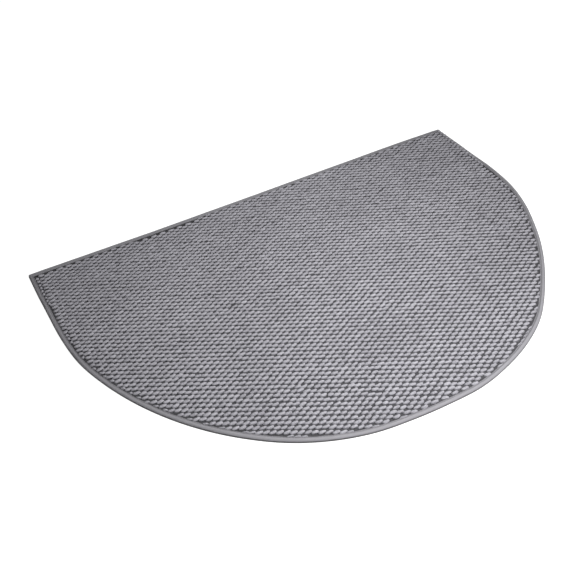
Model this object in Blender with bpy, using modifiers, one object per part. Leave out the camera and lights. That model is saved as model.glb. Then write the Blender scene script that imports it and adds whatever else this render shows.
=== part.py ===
"""Half round doormat: a knotted pad held in a folded edge tape, lying flat on the floor.

Metres, +Z up. X runs along the straight edge, which is on the +Y side, and the rounded front faces -Y.
"""
import math

import bpy

# Sizes of the whole mat
WIDTH = 0.900
DEPTH = 0.600
SIDE_LENGTH = 0.1027  # the short straight run from each back corner
ROUNDNESS = 2.07  # 2 would make the front an exact half ellipse

# Sizes of the tape's folded section and of the pad in it
TAPE_WIDTH = 0.0085
TAPE_HEIGHT = 0.0060
TAPE_SKIN = 0.0012
TAPE_ROUNDING = 0.0016
PAD_HEIGHT = 0.0070
PAD_ROUNDING = 0.0018
GAP = 0.0003
ROUNDING_STEPS = 3
ROUNDED_ANGLE = math.radians(40)

# How far the cut edge lies outside the ideal line, in millimetres at equal steps. The front runs
# from the right back corner round to the left one.
FRONT_UNEVENNESS = (
    0.1, 0.2, -0.7, 2.6, 5.3, 3.3, -0.6, -2.5, -3.5, -1.8, 2.7, 3.3, 2.5, 1.7, -2.3,
    -3.1, -0.4, 0.8, 0.9, -0.3, -0.8, -0.7, 0.0, 1.2, 2.4, -0.2, -2.1, -0.6, -0.2,
)
BACK_UNEVENNESS = (3.6, 2.3, 0.8, 0.8, 0.9, 1.6, 1.9, 2.3, 0.2)  # from the left corner to the right
MILLIMETRE = 0.001

# How finely the outline is drawn
FRONT_POINTS = 128
BACK_POINTS = 16
FINE_STEPS = 1200
CUT_MARGIN = 0.002  # how far a cutter stands out of what it cuts


def eased(table, share):
    """The table's value at a share of its length, on a smooth curve through its numbers."""
    place = share * (len(table) - 1)
    first = min(int(place), len(table) - 2)
    part = place - first
    before, start, end, after = (table[min(max(first + k, 0), len(table) - 1)] for k in (-1, 0, 1, 2))
    bend = 2 * before - 5 * start + 4 * end - after
    twist = 3 * (start - end) + after - before
    return start + part / 2 * (end - before + part * (bend + part * twist))


def ideal_front():
    """The ideal line from the right back corner round the front to the left one, drawn finely."""
    half = WIDTH / 2
    line = [(half, DEPTH)]
    for k in range(FINE_STEPS + 1):
        angle = math.pi * k / FINE_STEPS
        across = math.copysign(abs(math.cos(angle)) ** (2 / ROUNDNESS), math.cos(angle))
        along = abs(math.sin(angle)) ** (2 / ROUNDNESS)
        line.append((half * across, (DEPTH - SIDE_LENGTH) * (1 - along)))
    line.append((-half, DEPTH))
    return line


def spaced(line, count):
    """Points at equal steps of a line's length, each with the line's outward direction there."""
    lengths = [math.dist(a, b) for a, b in zip(line, line[1:])]
    step = sum(lengths) / count
    found = []
    passed = 0.0
    at = 0
    for k in range(count + 1):
        while at < len(lengths) - 1 and passed + lengths[at] < k * step:
            passed += lengths[at]
            at += 1
        (x0, y0), (x1, y1) = line[at], line[at + 1]
        part = min((k * step - passed) / lengths[at], 1.0)
        outward = ((y0 - y1) / lengths[at], (x1 - x0) / lengths[at])
        found.append(((x0 + part * (x1 - x0), y0 + part * (y1 - y0)), outward))
    return found


def outline():
    """The mat's uneven edge as a closed run of points, centred on its own box."""
    points = []
    for k, ((x, y), (out_x, out_y)) in enumerate(spaced(ideal_front(), FRONT_POINTS)):
        off = eased(FRONT_UNEVENNESS, k / FRONT_POINTS) * MILLIMETRE
        points.append([x + out_x * off, y + out_y * off])
    points[0][1] += BACK_UNEVENNESS[-1] * MILLIMETRE
    points[-1][1] += BACK_UNEVENNESS[0] * MILLIMETRE
    left, right = points[-1][0], points[0][0]
    for k in range(1, BACK_POINTS):
        share = k / BACK_POINTS
        off = eased(BACK_UNEVENNESS, share) * MILLIMETRE
        points.append([left + share * (right - left), DEPTH + off])
    xs, ys = zip(*points)
    middle_x = (min(xs) + max(xs)) / 2
    middle_y = (min(ys) + max(ys)) / 2
    return [(x - middle_x, y - middle_y) for x, y in points]


def inset(points, distance):
    """The closed run of points moved inward by a distance, with mitred corners."""
    moved = []
    for k, (x, y) in enumerate(points):
        (x0, y0), (x1, y1) = points[k - 1], points[(k + 1) % len(points)]
        before, after = math.dist((x0, y0), (x, y)), math.dist((x, y), (x1, y1))
        in_before = ((y - y0) / before, (x0 - x) / before)
        in_after = ((y1 - y) / after, (x - x1) / after)
        share = 1 + in_before[0] * in_after[0] + in_before[1] * in_after[1]
        mitre_x = (in_before[0] + in_after[0]) / share
        mitre_y = (in_before[1] + in_after[1]) / share
        moved.append((x + mitre_x * distance, y + mitre_y * distance))
    return moved


def collection(name):
    found = bpy.data.collections.new(name)
    bpy.context.scene.collection.children.link(found)
    return found


def plate(name, home, edge, bottom, top):
    """A flat plate with the given edge, made from a filled circle that is given thickness."""
    bpy.ops.mesh.primitive_circle_add(vertices=len(edge), fill_type="NGON")
    made = bpy.context.object
    made.name = made.data.name = name
    for vertex, (x, y) in zip(made.data.vertices, reversed(edge)):
        vertex.co = (x, y, bottom)
    for other in list(made.users_collection):
        other.objects.unlink(made)
    home.objects.link(made)
    thickness = made.modifiers.new("thickness", "SOLIDIFY")
    thickness.thickness = top - bottom
    thickness.offset = 1
    return made


def rounded(made, width):
    rounding = made.modifiers.new("rounding", "BEVEL")
    rounding.width = width
    rounding.segments = ROUNDING_STEPS
    rounding.limit_method = "ANGLE"
    rounding.angle_limit = ROUNDED_ANGLE
    rounding.use_clamp_overlap = False


def combined(made, other, operation):
    step = made.modifiers.new(operation.lower(), "BOOLEAN")
    step.operation = operation
    step.solver = "EXACT"
    step.object = other
    other.hide_render = True
    other.display_type = "WIRE"


def material(made, name, colour, roughness):
    found = bpy.data.materials.new(name)
    found.use_nodes = True
    shader = found.node_tree.nodes["Principled BSDF"]
    shader.inputs["Base Color"].default_value = (*colour, 1)
    shader.inputs["Roughness"].default_value = roughness
    made.data.materials.append(found)


for existing in list(bpy.data.objects):
    bpy.data.objects.remove(existing)
parts = collection("half_round_doormat")
cutters = collection("cutters")
edge_line = outline()

# The edge tape, folded over the pad's rim and open towards the pad
tape = plate("edge_binding", parts, edge_line, 0, TAPE_HEIGHT)
well = plate("well", cutters, inset(edge_line, TAPE_WIDTH), -CUT_MARGIN, TAPE_HEIGHT + CUT_MARGIN)
slot = plate("slot", cutters, inset(edge_line, TAPE_SKIN), TAPE_SKIN, TAPE_HEIGHT - TAPE_SKIN)
combined(tape, well, "DIFFERENCE")
rounded(tape, TAPE_ROUNDING)
combined(tape, slot, "DIFFERENCE")
material(tape, "tape_cloth", (0.27, 0.27, 0.285), 0.85)

# The knotted pad, with a thin rim that lies in the tape's fold
pad = plate("mat_pad", parts, inset(edge_line, TAPE_WIDTH + GAP), 0, PAD_HEIGHT)
rim_inset = TAPE_SKIN + GAP
rim = plate("rim", cutters, inset(edge_line, rim_inset), rim_inset, TAPE_HEIGHT - rim_inset)
rounded(pad, PAD_ROUNDING)
combined(pad, rim, "UNION")
material(pad, "pad_yarn", (0.25, 0.25, 0.262), 0.9)
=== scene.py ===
import math

import bpy
import numpy as np
from mathutils import Matrix, Vector


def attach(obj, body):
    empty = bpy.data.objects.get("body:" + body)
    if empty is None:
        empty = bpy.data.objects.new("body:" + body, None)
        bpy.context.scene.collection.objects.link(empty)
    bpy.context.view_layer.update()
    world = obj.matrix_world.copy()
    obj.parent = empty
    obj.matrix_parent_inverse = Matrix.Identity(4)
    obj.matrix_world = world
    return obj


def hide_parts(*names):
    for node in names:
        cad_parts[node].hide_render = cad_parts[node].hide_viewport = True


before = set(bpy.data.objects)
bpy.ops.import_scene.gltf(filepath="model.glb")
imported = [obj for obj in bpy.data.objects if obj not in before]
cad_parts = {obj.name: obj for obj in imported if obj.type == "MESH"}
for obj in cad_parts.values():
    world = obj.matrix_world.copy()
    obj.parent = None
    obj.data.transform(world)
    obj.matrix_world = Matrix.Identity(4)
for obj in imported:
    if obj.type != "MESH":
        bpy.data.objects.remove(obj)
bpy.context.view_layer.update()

# The ground cloth: a flat, rather dark woven cloth that the knots are worked on, cut half round.
# Its rim is thinner and higher, as it is tucked into the fold of the edge tape, and its underside
# lies flat on the floor.
WIDTH = 0.900
DEPTH = 0.600
SIDE_LENGTH = 0.1027  # the short straight run from each back corner
ROUNDNESS = 2.07  # 2 would make the front an exact half ellipse
LINE_CENTRE = (0.000218, 0.302380)  # the middle of the outline's box
MILLIMETRE = 0.001
FINE_STEPS = 3000
FRONT_UNEVENNESS = (  # millimetres outwards, from the right back corner round to the left one
    0.1, 0.2, -0.7, 2.6, 5.3, 3.3, -0.6, -2.5, -3.5, -1.8, 2.7, 3.3, 2.5, 1.7, -2.3,
    -3.1, -0.4, 0.8, 0.9, -0.3, -0.8, -0.7, 0.0, 1.2, 2.4, -0.2, -2.1, -0.6, -0.2,
)
BACK_UNEVENNESS = (3.6, 2.3, 0.8, 0.8, 0.9, 1.6, 1.9, 2.3, 0.2)  # and from left to right
CLOTH_STEP = 0.006
CLOTH_SECTION = (  # millimetres in from the mat's edge, and up, from the underside to the top
    (9.4, 0.1), (8.8, 0.8), (2.2, 1.5), (1.9, 1.8), (2.2, 2.1), (7.8, 2.1), (9.4, 2.6),
)
CLOTH_COLOUR = (0.065, 0.064, 0.069)
CLOTH_THREAD = 0.0016
CLOTH_PATCHES = 90.0  # in a metre
CLOTH_RELIEF = 0.0004


def eased(table, share):
    """The table's values at shares of its length, on a smooth curve through its numbers."""
    table = np.array(table)
    place = np.asarray(share) * (len(table) - 1)
    first = np.minimum(place.astype(int), len(table) - 2)
    part = place - first
    before, start, end, after = (
        table[np.clip(first + k, 0, len(table) - 1)] for k in (-1, 0, 1, 2)
    )
    bend = 2 * before - 5 * start + 4 * end - after
    twist = 3 * (start - end) + after - before
    return start + part / 2 * (end - before + part * (bend + part * twist))


def edge_line(step):
    """The mat's uneven edge, a closed run of points from the right back corner round the front."""
    angle = np.linspace(0, math.pi, FINE_STEPS + 1)
    across, along = np.cos(angle), np.sin(angle)
    across = np.sign(across) * np.abs(across) ** (2 / ROUNDNESS) * WIDTH / 2
    along = (DEPTH - SIDE_LENGTH) * (1 - np.abs(along) ** (2 / ROUNDNESS))
    corner = np.array([[WIDTH / 2, DEPTH]])
    line = np.vstack([corner, np.stack([across, along], 1), corner * (-1, 1)])
    steps = np.diff(line, axis=0)
    lengths = np.hypot(*steps.T)
    passed = np.append(0, np.cumsum(lengths))
    share = np.linspace(0, 1, round(passed[-1] / step) + 1)
    at = np.clip(np.searchsorted(passed, share * passed[-1], "right") - 1, 0, len(steps) - 1)
    part = ((share * passed[-1] - passed[at]) / lengths[at])[:, None]
    outward = np.stack([-steps[at, 1], steps[at, 0]], 1) / lengths[at, None]
    off = eased(FRONT_UNEVENNESS, share)[:, None] * MILLIMETRE
    front = line[at] + part * steps[at] + outward * off
    front[0, 1] += BACK_UNEVENNESS[-1] * MILLIMETRE
    front[-1, 1] += BACK_UNEVENNESS[0] * MILLIMETRE
    share = np.arange(1, round(WIDTH / step)) / round(WIDTH / step)
    back_x = front[-1, 0] + share * (front[0, 0] - front[-1, 0])
    back_y = DEPTH + eased(BACK_UNEVENNESS, share) * MILLIMETRE
    return np.vstack([front, np.stack([back_x, back_y], 1)]) - LINE_CENTRE


def inward(line):
    """For each point of the closed line, the step that moves it in by one metre, mitred."""
    before = line - np.roll(line, 1, 0)
    after = np.roll(line, -1, 0) - line
    before = np.stack([before[:, 1], -before[:, 0]], 1) / np.hypot(*before.T)[:, None]
    after = np.stack([after[:, 1], -after[:, 0]], 1) / np.hypot(*after.T)[:, None]
    return (before + after) / (1 + (before * after).sum(1))[:, None]


def run_length(line):
    """The length of the closed line up to each point, and at last all round."""
    return np.append(0, np.cumsum(np.hypot(*(np.roll(line, -1, 0) - line).T)))


def lofted(name, line, insets, heights, hollow):
    """Cloth that follows the line: its section runs through the insets and heights, in metres.

    A hollow one's section closes on itself. Any other is filled below its first ring and above
    its last. Its UV map holds the length along the line and across the section.
    """
    count, section = len(line), insets.shape[-1]
    insets, heights = (np.broadcast_to(each, (count, section)) for each in (insets, heights))
    points = np.empty((count, section, 3))
    points[:, :, :2] = line[:, None] + inward(line)[:, None] * insets[:, :, None]
    points[:, :, 2] = heights
    strips = section if hollow else section - 1
    k, j = np.meshgrid(np.arange(count), np.arange(strips), indexing="ij")
    k2, j2 = (k + 1) % count, (j + 1) % section
    faces = np.stack([k * section + j, k * section + j2, k2 * section + j2, k2 * section + j], 2)
    faces = faces.reshape(-1, 4).tolist()
    along = run_length(line)
    across = np.append(insets[0], insets[0, 0]), np.append(heights[0], heights[0, 0])
    across = np.append(0, np.cumsum(np.hypot(*np.diff(across))))
    u = np.stack([along[k], along[k], along[k + 1], along[k + 1]], 2)
    v = np.stack([across[j], across[j + 1], across[j + 1], across[j]], 2)
    places = np.stack([u, v], 3).reshape(-1, 2)
    if not hollow:
        below = list(range(0, count * section, section))
        above = [index + section - 1 for index in reversed(below)]
        faces += [below, above]
        flat = points.reshape(-1, 3)
        places = np.vstack([places, flat[below, :2], flat[above, :2]])
    mesh = bpy.data.meshes.new(name)
    mesh.from_pydata(points.reshape(-1, 3).tolist(), [], faces)
    mesh.uv_layers.new(name="cloth").data.foreach_set("uv", places.ravel())
    made = bpy.data.objects.new(name, mesh)
    bpy.context.scene.collection.objects.link(made)
    return made


def only(made):
    """Makes this the one selected object."""
    bpy.ops.object.select_all(action="DESELECT")
    bpy.context.view_layer.objects.active = made
    made.select_set(True)


def smoothed(made, degrees):
    """Turns all faces outwards and shades the mesh smooth, up to this angle between faces."""
    only(made)
    bpy.ops.object.mode_set(mode="EDIT")
    bpy.ops.mesh.select_all(action="SELECT")
    bpy.ops.mesh.normals_make_consistent(inside=False)
    bpy.ops.object.mode_set(mode="OBJECT")
    bpy.ops.object.shade_smooth_by_angle(angle=math.radians(degrees))


class Wire:
    """A number or colour in a material's nodes, which can be used in sums."""

    def __init__(self, tree, socket=None):
        self.tree, self.socket = tree, socket

    def node(self, kind, settings=None, sockets=None, output=0):
        made = self.tree.nodes.new(kind)
        for key, value in (settings or {}).items():
            setattr(made, key, value)
        for key, value in (sockets or {}).items():
            if isinstance(value, Wire):
                self.tree.links.new(value.socket, made.inputs[key])
            else:
                made.inputs[key].default_value = value
        return Wire(self.tree, made.outputs[output])

    def sum_with(self, operation, first, second=0.0):
        return self.node("ShaderNodeMath", {"operation": operation}, {0: first, 1: second})

    def __add__(self, other):
        return self.sum_with("ADD", self, other)

    def __sub__(self, other):
        return self.sum_with("SUBTRACT", self, other)

    def __rsub__(self, other):
        return self.sum_with("SUBTRACT", other, self)

    def __mul__(self, other):
        return self.sum_with("MULTIPLY", self, other)

    def __pow__(self, other):
        return self.sum_with("POWER", self, other)

    __radd__ = __add__
    __rmul__ = __mul__

    def wave(self):
        """From 0 to 1 and back each time the number grows by 1."""
        return 0.5 + 0.5 * self.sum_with("SINE", self * math.tau)

    def unsigned(self):
        return self.sum_with("ABSOLUTE", self)

    def ramp(self, start, end):
        """From 0 where the number is start to 1 where it is end, and held there."""
        share = (self - start) * (1 / (end - start))
        return self.sum_with("MINIMUM", self.sum_with("MAXIMUM", share), 1.0)

    def noise(self, scale, detail=2.0):
        sockets = {"Vector": self, "Scale": scale, "Detail": detail}
        return self.node("ShaderNodeTexNoise", None, sockets)

    def between(self, first, second):
        """The colour at this share of the way from the first to the second."""
        return self.node("ShaderNodeMix", {"data_type": "RGBA"}, {0: self, 6: first, 7: second}, 2)

    def parts(self):
        """The three numbers of a place."""
        separate = self.node("ShaderNodeSeparateXYZ", None, {0: self}).socket.node
        return [Wire(self.tree, output) for output in separate.outputs]


def cloth_finish(name, roughness):
    """A new material for cloth, its shader, and a wire to start its sums from."""
    made = bpy.data.materials.new(name)
    made.use_nodes = True
    shader = made.node_tree.nodes["Principled BSDF"]
    shader.inputs["Roughness"].default_value = roughness
    shader.inputs["Specular IOR Level"].default_value = 0.12
    return made, shader, Wire(made.node_tree)


def dress(shader, colour, height, depth):
    """Gives the shader a colour and a relief of this depth in metres."""
    sockets = {"Height": height, "Distance": depth, "Strength": 1.0}
    relief = colour.node("ShaderNodeBump", None, sockets)
    colour.tree.links.new(colour.socket, shader.inputs["Base Color"])
    colour.tree.links.new(relief.socket, shader.inputs["Normal"])


def shade(colour, share):
    """The colour made lighter or darker, with its alpha."""
    return tuple(part * share for part in colour) + (1,)


insets, heights = np.array(CLOTH_SECTION).T * MILLIMETRE
ground = lofted("ground_cloth", edge_line(CLOTH_STEP), insets, heights, hollow=False)
smoothed(ground, 40)
ground_finish, shader, start = cloth_finish("ground_weave", 0.95)
place = start.node("ShaderNodeTexCoord", None, None, "Object")
x, y, _ = place.parts()
warp = (x * (1 / CLOTH_THREAD)).wave()
weft = (y * (1 / CLOTH_THREAD)).wave()
threads = warp * weft + (1 - warp) * (1 - weft)
patches = place.noise(CLOTH_PATCHES, 3.0)
shown = (0.6 * threads + 0.4 * patches).between(
    shade(CLOTH_COLOUR, 0.65), shade(CLOTH_COLOUR, 1.25)
)
dress(shader, shown, threads, CLOTH_RELIEF)
ground.data.materials.append(ground_finish)
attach(ground, "root")
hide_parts("mat_pad")

# The knots: short loops of a plump, soft yarn in rows along the straight edge, each row set half a
# knot aside from the last, so that a dark hollow shows below every knot. No two are quite alike,
# those at the tape are squeezed, and a painted shade darkens all of them towards their roots.
KNOT_HALF = (0.0063, 0.00255, 0.0025)
KNOT_MIDDLE = 0.0036
KNOT_LOWEST = 0.0006
KNOT_SWELLS = ((0.5, 1.10), (0.87, 1.38))  # at a share of the half length, how much fuller it is
KNOT_DROPS = ((0.7, 0.0006), (0.95, 0.0004))  # past a share of the half length, how far it drops
KNOT_SIDES = 10
KNOT_RINGS = 6
RING_REACH = 0.05  # a ring's points lie within this share of the half length
KNOT_TILT = math.radians(-4)
KNOT_MORE_TILT = math.radians(-8)  # towards the right and the back
MORE_TILT_WAY, MORE_TILT_RUN = (1.0, 0.8), (-0.05, 0.30)
KNOT_BOW = 0.09
HALF_KNOTS = 112.0  # in a metre of a row
ROWS = 211.5  # in a metre
MOST_HALF_KNOTS, MOST_ROWS = 70, 80  # to each side of the middle, more than the mat holds
ROW_SPREAD, ROW_SLIP = 10.0, 3.3  # how knots spread to the right, and slip from row to row
ROW_SLOPE, ROW_FAN = 4.0, 16.0  # how the rows slope, and fan out
KNOT_CHANCE = {  # how much knots differ by chance, as standard deviations
    "turn": 0.09, "size": 0.05, "lift": 0.00024, "bow": 0.07, "rise": 0.045, "place": 0.00023,
    "point": 0.00017, "tone": 0.17,
}
DISORDER_PATCH = 0.05
TONE_PATCH, TONE_PATCH_DEPTH = 0.12, 0.12
LEAST_INSET = 0.0072  # knots bulge this far over the tape's inner edge
KEPT_INSET = 0.0005  # a knot whose middle isn't this much further in is left out
LEAST_SQUEEZE = 0.45
LIP_HEIGHT, LIP_END = 0.80, 0.0105  # the share of its height that a knot has over the lip
BORDER = 0.022  # no knot further in reaches the lip
NEAR_STEP = 0.002  # how finely the edge is drawn to measure depths from it
PRESSED_RUN = (0.090, 0.170)  # on the right short side the tape is pressed flat, up to here
PRESSED_CORNER = 0.015  # and this far round the back corner
PRESSED_INSET = 0.0006
PRESSED_KNOTS, PRESSED_KNOTS_END = 0.94, 0.0040
VALLEY_START, VALLEY_END = (1.690, 1.715), (1.95, 2.20)  # on the left of the straight edge
VALLEY_WIDTH = 0.0034  # the knots keep this much further off the tape there
YARN_COLOUR = (0.315, 0.310, 0.335)
# painted shade: towards its roots the yarn is darkened to this colour, the darkest of its tones
YARN_SHADED_ROOT_COLOUR = (0.1105, 0.1065, 0.1210)
YARN_SHADE_HEIGHTS = (0.004375, 0.001875)  # from the first height down to the second the painted shade at the roots deepens
YARN_STRANDS = 6.0  # round a knot
YARN_TWIST = 1.6
YARN_SHIFT = 7.0  # sets the strands of one knot off from the next one's
YARN_FUZZ, YARN_CLUMPS = 1500.0, 450.0  # in a metre
YARN_RELIEF = 0.0008
KNOT_PIECES = ("knots_left", "knots_middle_left", "knots_middle_right", "knots_right")
by_chance = np.random.default_rng(573)


def bead(sides, rings, half):
    """A closed bead along X with these half sizes, left open in edit mode."""
    bpy.ops.object.select_all(action="DESELECT")
    bpy.ops.mesh.primitive_uv_sphere_add(
        segments=sides, ring_count=rings, radius=1, rotation=(0, math.pi / 2, 0)
    )
    made = bpy.context.object
    bpy.ops.object.transform_apply(location=True, rotation=True, scale=True)
    bpy.ops.object.mode_set(mode="EDIT")
    bpy.ops.mesh.select_all(action="SELECT")
    bpy.ops.transform.resize(value=half)
    return made


def pick(made, half_length, chosen):
    """Selects the bead's points for which chosen is true, by their share of its half length."""
    bpy.ops.mesh.select_all(action="DESELECT")
    bpy.ops.object.mode_set(mode="OBJECT")
    for point in made.data.vertices:
        point.select = chosen(abs(point.co.x) / half_length)
    bpy.ops.object.mode_set(mode="EDIT")
    bpy.ops.mesh.select_mode(type="VERT")


knot = bead(KNOT_SIDES, KNOT_RINGS, KNOT_HALF)
for reach, swell in KNOT_SWELLS:
    pick(knot, KNOT_HALF[0], lambda share: abs(share - reach) < RING_REACH)
    bpy.ops.transform.resize(value=(1, swell, swell))
for reach, drop in KNOT_DROPS:
    pick(knot, KNOT_HALF[0], lambda share: share > reach)
    bpy.ops.transform.translate(value=(0, 0, -drop))
bpy.ops.mesh.select_all(action="SELECT")
bpy.ops.transform.translate(value=(0, 0, KNOT_MIDDLE))
bpy.ops.object.mode_set(mode="OBJECT")


def arrays_of(mesh):
    """A mesh's points, the corners of its faces, the faces' sizes and the corners' UV places."""
    points = np.empty(len(mesh.vertices) * 3)
    mesh.vertices.foreach_get("co", points)
    corners = np.empty(len(mesh.loops), int)
    mesh.loops.foreach_get("vertex_index", corners)
    sizes = np.array([len(face.vertices) for face in mesh.polygons])
    places = np.empty(len(mesh.loops) * 2)
    mesh.uv_layers.active.data.foreach_get("uv", places)
    return points.reshape(-1, 3), corners, sizes, places


def repeated(name, pattern, points, tones):
    """One mesh of the pattern's faces, a copy for each row of points, each with its own tone."""
    _, corners, sizes, places = arrays_of(pattern)
    copies, each = points.shape[:2]
    corners = (corners[None] + np.arange(copies)[:, None] * each).ravel()
    sizes = np.tile(sizes, copies)
    mesh = bpy.data.meshes.new(name)
    mesh.vertices.add(copies * each)
    mesh.vertices.foreach_set("co", points.ravel())
    mesh.loops.add(len(corners))
    mesh.loops.foreach_set("vertex_index", corners)
    mesh.polygons.add(len(sizes))
    mesh.polygons.foreach_set("loop_start", np.append(0, np.cumsum(sizes)[:-1]))
    mesh.polygons.foreach_set("use_smooth", np.ones(len(sizes), bool))
    mesh.update(calc_edges=True)
    mesh.uv_layers.new(name="yarn").data.foreach_set("uv", np.tile(places, copies))
    tone_values = mesh.attributes.new("tone", "FLOAT", "POINT").data
    tone_values.foreach_set("value", np.repeat(tones, each))
    made = bpy.data.objects.new(name, mesh)
    bpy.context.scene.collection.objects.link(made)
    return made


def knot_places():
    """Where the knots are: counts of half knots and of rows that are both even or both odd.

    The rows are a little skewed and spread towards the right, as the cloth lies.
    """
    across, along = np.meshgrid(
        np.arange(-MOST_HALF_KNOTS, MOST_HALF_KNOTS + 1), np.arange(-MOST_ROWS, MOST_ROWS + 1)
    )
    chosen = (across + along) % 2 == 0
    across, along = across[chosen].astype(float), along[chosen].astype(float)
    x, y = across / HALF_KNOTS, -along / ROWS
    for _ in range(8):  # a place bends the steps that lead to it, and this settles it
        x = (across + ROW_SPREAD * x**2 + ROW_SLIP * y) / HALF_KNOTS
        y = -(along + ROW_SLOPE * x - ROW_FAN * x * y) / ROWS
    return np.stack([x, y], 1)


def smooth_step(value, start, end):
    share = np.clip((value - start) / (end - start), 0, 1)
    return share * share * (3 - 2 * share)


def pressed_at(on_edge, round_length):
    """How much the mat's edge is pressed flat, from 0 to 1, at lengths along its line."""
    run = 1 - smooth_step(on_edge, *PRESSED_RUN)
    return run + smooth_step(on_edge, round_length - PRESSED_CORNER, round_length)


def depth_in(places, line):
    """How far inside the closed line each place lies, the way out, and how far along it that is."""
    near = ((places[:, None] - line[None]) ** 2).sum(2).argmin(1)
    out = -inward(line)[near]
    out /= np.hypot(*out.T)[:, None]
    return ((line[near] - places) * out).sum(1), out, run_length(line)[near]


def slow_waves(places, size, count=24):
    """A smooth random height over the places, of about this size in metres, from about -1 to 1."""
    turns = by_chance.normal(0, math.tau / size / 2, (count, 2))
    starts = by_chance.uniform(0, math.tau, count)
    return np.sin(places @ turns.T + starts).sum(1) * math.sqrt(2 / count) / 1.5


def chance(kind, *shape):
    """Random differences of this kind for all the knots, an array of this shape for each."""
    return by_chance.normal(0, KNOT_CHANCE[kind], (len(centres), *shape))


fine_line = edge_line(NEAR_STEP)
centres = knot_places()
inside, way_out, on_edge = depth_in(centres, fine_line)
pressed = pressed_at(on_edge, run_length(fine_line)[-1])
reach = np.hypot(way_out[:, 0] * KNOT_HALF[0], way_out[:, 1] * KNOT_HALF[1])
valley = smooth_step(on_edge, *VALLEY_START) - smooth_step(on_edge, *VALLEY_END)
least = LEAST_INSET + pressed * (PRESSED_INSET - LEAST_INSET) + valley * VALLEY_WIDTH
kept = inside > least + KEPT_INSET
centres, inside, way_out, pressed, reach, least = (
    each[kept] for each in (centres, inside, way_out, pressed, reach, least)
)
disorder = 0.75 + 0.25 * np.clip(slow_waves(centres, DISORDER_PATCH), -1, 2)
turn = KNOT_TILT + KNOT_MORE_TILT * smooth_step(centres @ MORE_TILT_WAY, *MORE_TILT_RUN)
turn += chance("turn") * disorder
size = 1 + chance("size", 3) * disorder[:, None]
lift = chance("lift") * disorder
bow = KNOT_BOW + chance("bow") * disorder
rise = chance("rise") * disorder
centres += chance("place", 2) * disorder[:, None]
squeeze = np.clip((inside - least) / reach, LEAST_SQUEEZE, 1)
centres -= way_out * np.clip(reach * squeeze - (inside - least), 0, None)[:, None]
shape = arrays_of(knot.data)[0]
bent = shape[None] * size[:, None] + chance("point", len(shape), 3)
bent[:, :, 1] += bow[:, None] * bent[:, :, 0] ** 2 / KNOT_HALF[0]
bent[:, :, 2] += rise[:, None] * bent[:, :, 0] + lift[:, None]
x, y, height = np.moveaxis(bent, 2, 0)
cos, sin = np.cos(turn)[:, None], np.sin(turn)[:, None]
flat = np.stack([cos * x - sin * y, sin * x + cos * y], 2)
outward = (flat * way_out[:, None]).sum(2) * (1 - squeeze[:, None])
flat += centres[:, None] - outward[:, :, None] * way_out[:, None]
border = np.flatnonzero(inside < BORDER)
for part in np.array_split(border, 12):
    depth = depth_in(flat[part].reshape(-1, 2), fine_line)[0].reshape(len(part), -1)
    held = LIP_HEIGHT + (1 - LIP_HEIGHT) * smooth_step(depth, LEAST_INSET, LIP_END)
    leaning = smooth_step(depth, PRESSED_INSET, PRESSED_KNOTS_END)
    leaning = PRESSED_KNOTS + (1 - PRESSED_KNOTS) * leaning
    height[part] *= held + pressed[part, None] * (leaning - held)
points = np.concatenate([flat, np.maximum(height, KNOT_LOWEST)[:, :, None]], 2)
tone = np.clip(0.5 + chance("tone") + TONE_PATCH_DEPTH * slow_waves(centres, TONE_PATCH), 0, 1)

yarn_finish, shader, start = cloth_finish("pad_yarn_finish", 0.9)
knot_tone = start.node("ShaderNodeAttribute", {"attribute_name": "tone"}, None, "Fac")
round_it, length_on, _ = start.node("ShaderNodeUVMap", {"uv_map": "yarn"}).parts()
place = start.node("ShaderNodeTexCoord", None, None, "Object")
fuzz = place.noise(YARN_FUZZ, 3.0)
clumps = place.noise(YARN_CLUMPS, 2.0)
twisted = round_it * YARN_STRANDS + length_on * YARN_TWIST
strands = (twisted + knot_tone * YARN_SHIFT + fuzz * 0.35).wave()
# painted shade: the yarn is darkened low down, between the knots
root_shade = place.parts()[2].ramp(*YARN_SHADE_HEIGHTS)
shown = (0.33 * knot_tone + 0.15 * strands + 0.8 * clumps + 0.07 - 0.5 * root_shade).between(
    shade(YARN_SHADED_ROOT_COLOUR, 1.0), shade(YARN_COLOUR, 1.28)
)
dress(shader, shown, strands**0.6 * 0.5 + fuzz * 0.2 + clumps * 0.6, YARN_RELIEF)
order = np.argsort(centres[:, 0])
for name, group in zip(KNOT_PIECES, np.array_split(order, len(KNOT_PIECES))):
    piece = repeated(name, knot.data, points[group], tone[group])
    piece.data.materials.append(yarn_finish)
    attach(piece, "root")
bpy.data.objects.remove(knot)

# The edge tape: a strip of smooth twill tape, folded over the rim of the mat all the way round and
# sewn through near its inner edge, which pulls it down there and leaves a plump rounded outer edge.
# It is mitred at the two back corners. Painted shade darkens it near the floor, low on its outer
# wall and in the stitch groove.
TAPE_STEP = 0.0015
TAPE_THICKNESS = 0.9  # millimetres
TAPE_MIDDLE = (  # millimetres in from the mat's edge, and up, along the middle of its thickness
    (8.3, 0.55), (5.2, 0.55), (2.0, 0.55), (0.8, 0.9), (0.48, 1.9), (0.48, 2.9), (0.85, 3.85),
    (1.7, 4.7), (2.9, 5.3), (4.2, 5.45), (5.3, 5.1), (6.2, 4.3), (6.7, 3.55), (7.2, 3.2),
    (7.7, 3.4), (8.3, 3.5),
)
GROOVE = 13  # its place in the list above
UPPER_SIDE = 0.0026  # the tape's upper side is all higher than this
PLUMP_RUN = (0.0035, 0.0055)  # the waves of the swollen edge set in over these heights
CREST_INSET, CREST_REACH = 0.0042, 0.0024
STITCH_INSET, GROOVE_REACH = 0.0072, 0.0008
LIP_RUN = (0.0074, 0.0083)
CORNER_INSET, CORNER_FADE = 0.0009, 0.3  # how far the corners are rounded off, and how fast less
PRESSED_HEIGHT, PRESSED_HEIGHTS = 0.85, (0.0012, 0.0032)
STITCH_PITCH = 0.0044
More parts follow.
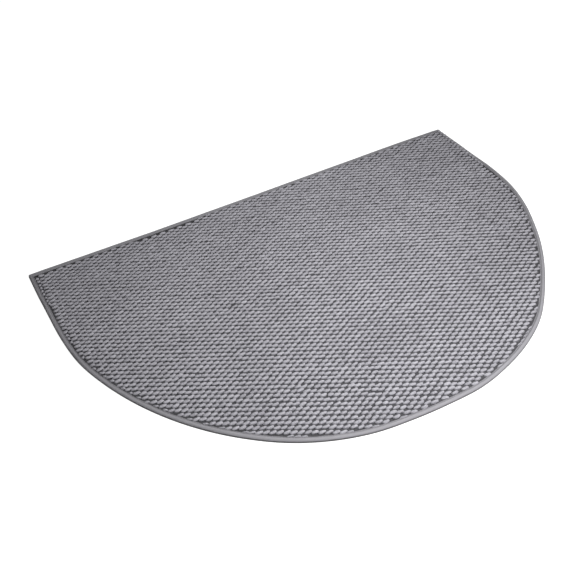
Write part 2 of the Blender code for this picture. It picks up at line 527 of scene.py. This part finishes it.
TAPE_COLOUR = (0.219, 0.215, 0.229)
TAPE_THREAD = 0.00075
TAPE_FUZZ, TAPE_WEAR = 1400.0, 60.0  # in a metre
TAPE_RELIEF = 0.00012
# how wide the painted shade in the stitch groove is
SHADED_GROOVE = 0.0013
# painted shade: the tape's lowest edge is darkened up to this height, as a shadow at the floor
FLOOR_SHADE_UP_TO = 0.0016
WALL_SHADE_RUN = (0.00214, 0.00452)  # painted shade: the swollen edge's outer wall gets lighter over these heights

tape_line = edge_line(TAPE_STEP)
middle = np.array(TAPE_MIDDLE)
direction = np.gradient(middle, axis=0)
direction /= np.hypot(*direction.T)[:, None]
sideways = np.stack([direction[:, 1], -direction[:, 0]], 1) * TAPE_THICKNESS / 2
section = np.vstack([middle + sideways, (middle - sideways)[::-1]]) * MILLIMETRE
on_line = run_length(tape_line)
round_length = on_line[-1]
on_line = on_line[:-1]


def uneven(millimetres, lowest, highest, count=14):
    """Smooth random waves along the tape that close on themselves, about this high or deep.

    Between the lowest and the highest number of them go round the mat.
    """
    waves = by_chance.integers(lowest, highest, count)
    starts = by_chance.uniform(0, math.tau, count)
    turns = on_line[:, None] / round_length * math.tau * waves + starts
    waved = np.sin(turns).sum(1) * math.sqrt(2 / count) / 1.5
    return waved[:, None] * millimetres * MILLIMETRE


def swollen(place, middle, reach):
    """From 1 at the middle down to nothing on both sides."""
    return np.exp(-(((place - middle) / reach) ** 2))


stitches = round(round_length / STITCH_PITCH)
at_stitch = on_line / round_length * stitches
pulled = (0.5 + 0.5 * np.cos(at_stitch * math.tau))[:, None] ** 2 * MILLIMETRE
inset, high = section.T
insets = np.tile(inset, (len(tape_line), 1))
heights = np.tile(high, (len(tape_line), 1))
plump = np.interp(high, PLUMP_RUN, (0, 1))
crest = plump * swollen(inset, CREST_INSET, CREST_REACH)
plump = np.where(high > UPPER_SIDE, 1, plump)
groove = plump * swollen(inset, STITCH_INSET, GROOVE_REACH)
lip = plump * np.interp(inset, LIP_RUN, (0, 1))
heights += crest * (uneven(0.22, 4, 60) + uneven(0.09, 150, 420) - 0.10 * pulled)
heights -= groove * (0.30 * pulled + uneven(0.10, 20, 90))
heights += lip * uneven(0.18, 10, 80)
insets += lip * uneven(0.25, 20, 140)
insets += (plump * 0.6 + 0.2) * uneven(0.12, 10, 80)
corners = [0, int(np.argmin(tape_line[:, 0] - tape_line[:, 1]))]
insets[corners] += np.clip(CORNER_INSET - CORNER_FADE * insets[corners], 0, None)
lowered = 1 - pressed_at(on_line, round_length)[:, None] * (1 - PRESSED_HEIGHT)
heights *= 1 + (lowered - 1) * smooth_step(high, *PRESSED_HEIGHTS)
tape = lofted("edge_tape", tape_line, insets, heights, hollow=True)
smoothed(tape, 60)

tape_finish, shader, start = cloth_finish("tape_twill", 0.85)
along, across, _ = start.node("ShaderNodeUVMap", {"uv_map": "cloth"}).parts()
place = start.node("ShaderNodeTexCoord", None, None, "Object")
fuzz = place.noise(TAPE_FUZZ, 3.0)
twill = ((along + across) * (1 / TAPE_THREAD)).wave()
picks = (across * (2 / TAPE_THREAD)).wave()
relief = 0.6 * twill + 0.2 * picks + 0.2 * fuzz
worn = place.noise(TAPE_WEAR, 3.0)
section_length = np.append(0, np.cumsum(np.hypot(*np.diff(section, axis=0).T)))
# painted shade: the stitch groove is darkened, where the knots' shadow falls
off_groove = (across - section_length[len(section) - 1 - GROOVE]).unsigned()
groove_shade = off_groove.ramp(SHADED_GROOVE, 0.0)
up = place.parts()[2]
# painted shade: a dark line where the tape meets the floor
clear_of_floor_shade = up.ramp(0.0, FLOOR_SHADE_UP_TO)
# painted shade: the tape's outer wall is darkened from the floor upwards
out_of_wall_shade = up.ramp(*WALL_SHADE_RUN)
texture = 0.12 * relief + 0.1 * fuzz + 0.14 * worn
shown = (texture - 0.15 + 0.2 * clear_of_floor_shade + 0.7 * out_of_wall_shade - 0.4 * groove_shade).between(
    shade(TAPE_COLOUR, 0.15), shade(TAPE_COLOUR, 1.2)
)
dress(shader, shown, relief, TAPE_RELIEF)
tape.data.materials.append(tape_finish)
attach(tape, "root")
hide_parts("edge_binding")

# The stitches: one row of a grey polyester thread, sewn through the tape's inner part in short even
# stitches, each bedded in the groove that it pulls.
STITCH_HALF = (0.00175, 0.00036, 0.00030)
STITCH_HEIGHT = 0.00355
STITCH_END = 0.8  # past this share of the half length it turns down
THREAD_COLOUR = (0.235, 0.232, 0.250)
THREAD_PLIES, THREAD_TWIST = 2.0, 3.0
THREAD_RELIEF = 0.0001

stitch = bead(6, 6, STITCH_HALF)
pick(stitch, STITCH_HALF[0], lambda share: share > STITCH_END)
bpy.ops.transform.translate(value=(0, 0, -STITCH_HALF[1]))
bpy.ops.object.mode_set(mode="OBJECT")
seam = tape_line + inward(tape_line) * STITCH_INSET
seam = np.vstack([seam, seam[:1]])
whole = np.append(on_line, round_length)
centre_on = (np.arange(stitches) + 0.5) * round_length / stitches
behind, before = (
    np.stack([np.interp((centre_on + side) % round_length, whole, at) for at in seam.T], 1)
    for side in (-STITCH_HALF[0], STITCH_HALF[0])
)
ahead = (before - behind) / np.hypot(*(before - behind).T)[:, None]
aside = np.stack([-ahead[:, 1], ahead[:, 0]], 1)
shape = arrays_of(stitch.data)[0][None]
flat = ((behind + before) / 2)[:, None] + shape[:, :, :1] * ahead[:, None]
flat += shape[:, :, 1:2] * aside[:, None]
seated = STITCH_HEIGHT * np.interp(centre_on, on_line, lowered[:, 0])
points = np.concatenate([flat, shape[:, :, 2:] + seated[:, None, None]], 2)
sewing = repeated("edge_stitches", stitch.data, points, np.full(stitches, 0.5))
thread_finish, shader, start = cloth_finish("sewing_thread", 0.7)
round_it, length_on, _ = start.node("ShaderNodeUVMap", {"uv_map": "yarn"}).parts()
ply = (round_it * THREAD_PLIES + length_on * THREAD_TWIST).wave()
shown = ply.between(shade(THREAD_COLOUR, 0.8), shade(THREAD_COLOUR, 1.2))
dress(shader, shown, ply, THREAD_RELIEF)
sewing.data.materials.append(thread_finish)
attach(sewing, "root")
bpy.data.objects.remove(stitch)

# The floor and the studio: a plain white floor that glows, one soft lamp over the mat's front edge,
# one above its middle and a dim band of light all round, with the camera where the photograph was
# taken from.
CAMERA_PLACE = (-0.501329, -0.766569, 0.849194)
CAMERA_YAW = math.radians(27.790)
CAMERA_DOWN = math.radians(42.963)
CAMERA_ROLL = math.radians(-2.743)
CAMERA_LENS = 46.0
FLOOR_SIZE, FLOOR_LEVEL = 12, -0.0004
FLOOR_COLOUR = (0.25, 0.25, 0.25)
FLOOR_GLOW = 1.0
WALL_LIGHT = 0.20
CEILING_LIGHT = 0.04
WALL_TOP = (0.12, 0.32)  # how steeply up the wall's light ends
WHITE = (1, 1, 1)
LAMPS = (  # name, place, size, power
    ("front_light", (0.03, -0.57, 0.70), 0.38, 7.05),
    ("top_light", (0.08, -0.26, 0.76), 0.32, 6.15),
)

bpy.ops.object.select_all(action="DESELECT")
bpy.ops.mesh.primitive_plane_add(size=FLOOR_SIZE, location=(0, 0, FLOOR_LEVEL))
floor = bpy.context.object
floor.name = "floor"
bpy.ops.object.transform_apply(location=True, rotation=True, scale=True)
floor_finish, shader, _ = cloth_finish("pale_floor", 0.8)
shader.inputs["Base Color"].default_value = shade(FLOOR_COLOUR, 1.0)
shader.inputs["Emission Color"].default_value = shade(WHITE, 1.0)
shader.inputs["Emission Strength"].default_value = FLOOR_GLOW
floor.data.materials.append(floor_finish)
floor.visible_diffuse = False
for name, lamp_place, size, power in LAMPS:
    lamp = bpy.data.lights.new(name, "AREA")
    lamp.shape, lamp.size, lamp.energy = "DISK", size, power
    lamp_object = bpy.data.objects.new(name, lamp)
    lamp_object.location = lamp_place
    lamp_object.rotation_euler = (-Vector(lamp_place)).to_track_quat("-Z", "Y").to_euler()
    bpy.context.scene.collection.objects.link(lamp_object)
world = bpy.data.worlds.new("studio")
world.use_nodes = True
way = Wire(world.node_tree).node("ShaderNodeTexCoord", None, None, "Generated")
steepness = way.parts()[2].unsigned().ramp(*WALL_TOP)
light = steepness.between(shade(WHITE, WALL_LIGHT), shade(WHITE, CEILING_LIGHT))
world.node_tree.links.new(light.socket, world.node_tree.nodes["Background"].inputs["Color"])
bpy.context.scene.world = world
bpy.context.scene.view_settings.view_transform = "Standard"

camera = bpy.data.objects.new("camera", bpy.data.cameras.new("camera"))
camera.data.lens = CAMERA_LENS
camera.matrix_world = (
    Matrix.Translation(CAMERA_PLACE)
    @ Matrix.Rotation(-CAMERA_YAW, 4, "Z")
    @ Matrix.Rotation(math.pi / 2 - CAMERA_DOWN, 4, "X")
    @ Matrix.Rotation(CAMERA_ROLL, 4, "Z")
)
bpy.context.scene.collection.objects.link(camera)
bpy.context.scene.camera = camera
